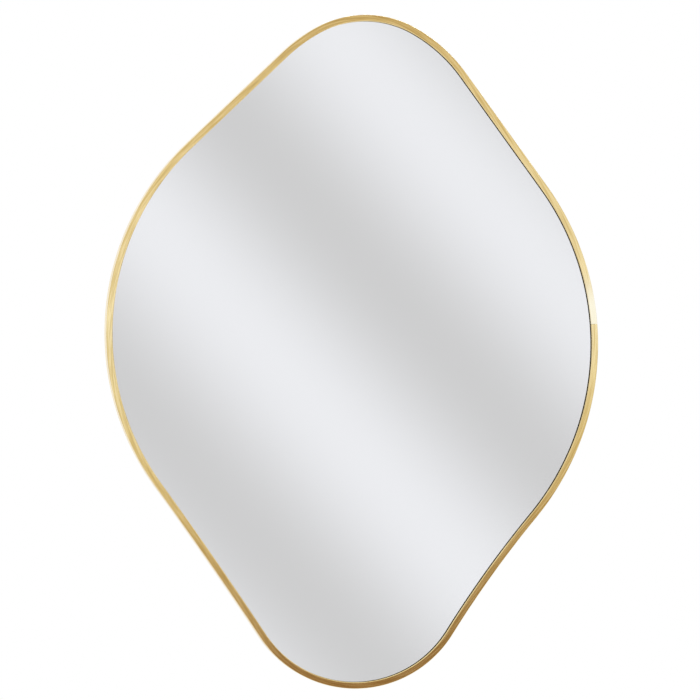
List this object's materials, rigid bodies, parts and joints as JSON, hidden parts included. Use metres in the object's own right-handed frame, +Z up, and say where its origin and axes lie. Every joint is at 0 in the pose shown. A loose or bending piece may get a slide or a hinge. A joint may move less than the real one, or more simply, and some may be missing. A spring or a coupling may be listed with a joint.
{
  "type": "irregular shaped wall mirror",
  "caption": "Pebble-shaped wall mirror in a slim brushed metal rail, with a clipped back panel, swinging D-ring hangers and rubber wall bumpers.",
  "frame": {"origin": "the middle of the frame's outline, on the wall plane that the rubber bumpers touch", "axes": "+X right and +Z up as seen from the front, +Y into the wall, so the mirror faces -Y"},
  "size_m": [0.551, 0.0265, 0.7499],
  "materials": {
    "brushed_gold": "gold anodised, satin brushed along the rail",
    "mirror_glass": "clear float glass, silvered on its back",
    "grey_film": "woven shatterproof film",
    "black_foam": "matt closed-cell foam",
    "white_tape": "foam mounting tape",
    "fibreboard": "raw medium density fibreboard",
    "zinc_plate": "bright zinc plated",
    "nickel_wire": "nickel plated wire",
    "black_rubber": "matt moulded rubber"
  },
  "bodies": {
    "mirror": {"frame_rail": "brushed_gold", "splice_bar": "zinc_plate", "splice_screw_1": "zinc_plate", "splice_screw_2": "zinc_plate", "splice_screw_3": "zinc_plate", "splice_screw_4": "zinc_plate", "lip_seal": "black_foam", "mirror_glass": "mirror_glass", "safety_film": "grey_film", "tape_pad_1": "white_tape", "tape_pad_2": "white_tape", "tape_pad_3": "white_tape", "tape_pad_4": "white_tape", "tape_pad_5": "white_tape", "tape_pad_6": "white_tape", "back_panel": "fibreboard", "panel_clip_1": "zinc_plate", "panel_clip_2": "zinc_plate", "panel_clip_3": "zinc_plate", "panel_clip_4": "zinc_plate", "panel_clip_5": "zinc_plate", "panel_clip_6": "zinc_plate", "panel_clip_7": "zinc_plate", "panel_clip_8": "zinc_plate", "clip_screw_1": "zinc_plate", "clip_screw_2": "zinc_plate", "clip_screw_3": "zinc_plate", "clip_screw_4": "zinc_plate", "clip_screw_5": "zinc_plate", "clip_screw_6": "zinc_plate", "clip_screw_7": "zinc_plate", "clip_screw_8": "zinc_plate", "hanger_strap_left": "zinc_plate", "hanger_strap_right": "zinc_plate", "strap_screw_left_upper": "zinc_plate", "strap_screw_left_lower": "zinc_plate", "strap_screw_right_upper": "zinc_plate", "strap_screw_right_lower": "zinc_plate", "bumper_top_right": "black_rubber", "bumper_top_left": "black_rubber", "bumper_bottom_left": "black_rubber", "bumper_bottom_right": "black_rubber"},
    "left_ring": {"hanger_ring_left": "nickel_wire"},
    "right_ring": {"hanger_ring_right": "nickel_wire"}
  },
  "joints": [
    {"name": "left_ring_swing", "type": "hinge", "parent": "mirror", "child": "left_ring", "pos_m": [-0.15, -0.0112, 0.15], "axis": [-1, 0, 0], "range_deg": [0, 182]},
    {"name": "right_ring_swing", "type": "hinge", "parent": "mirror", "child": "right_ring", "pos_m": [0.15, -0.0112, 0.15], "axis": [-1, 0, 0], "range_deg": [0, 182]}
  ]
}
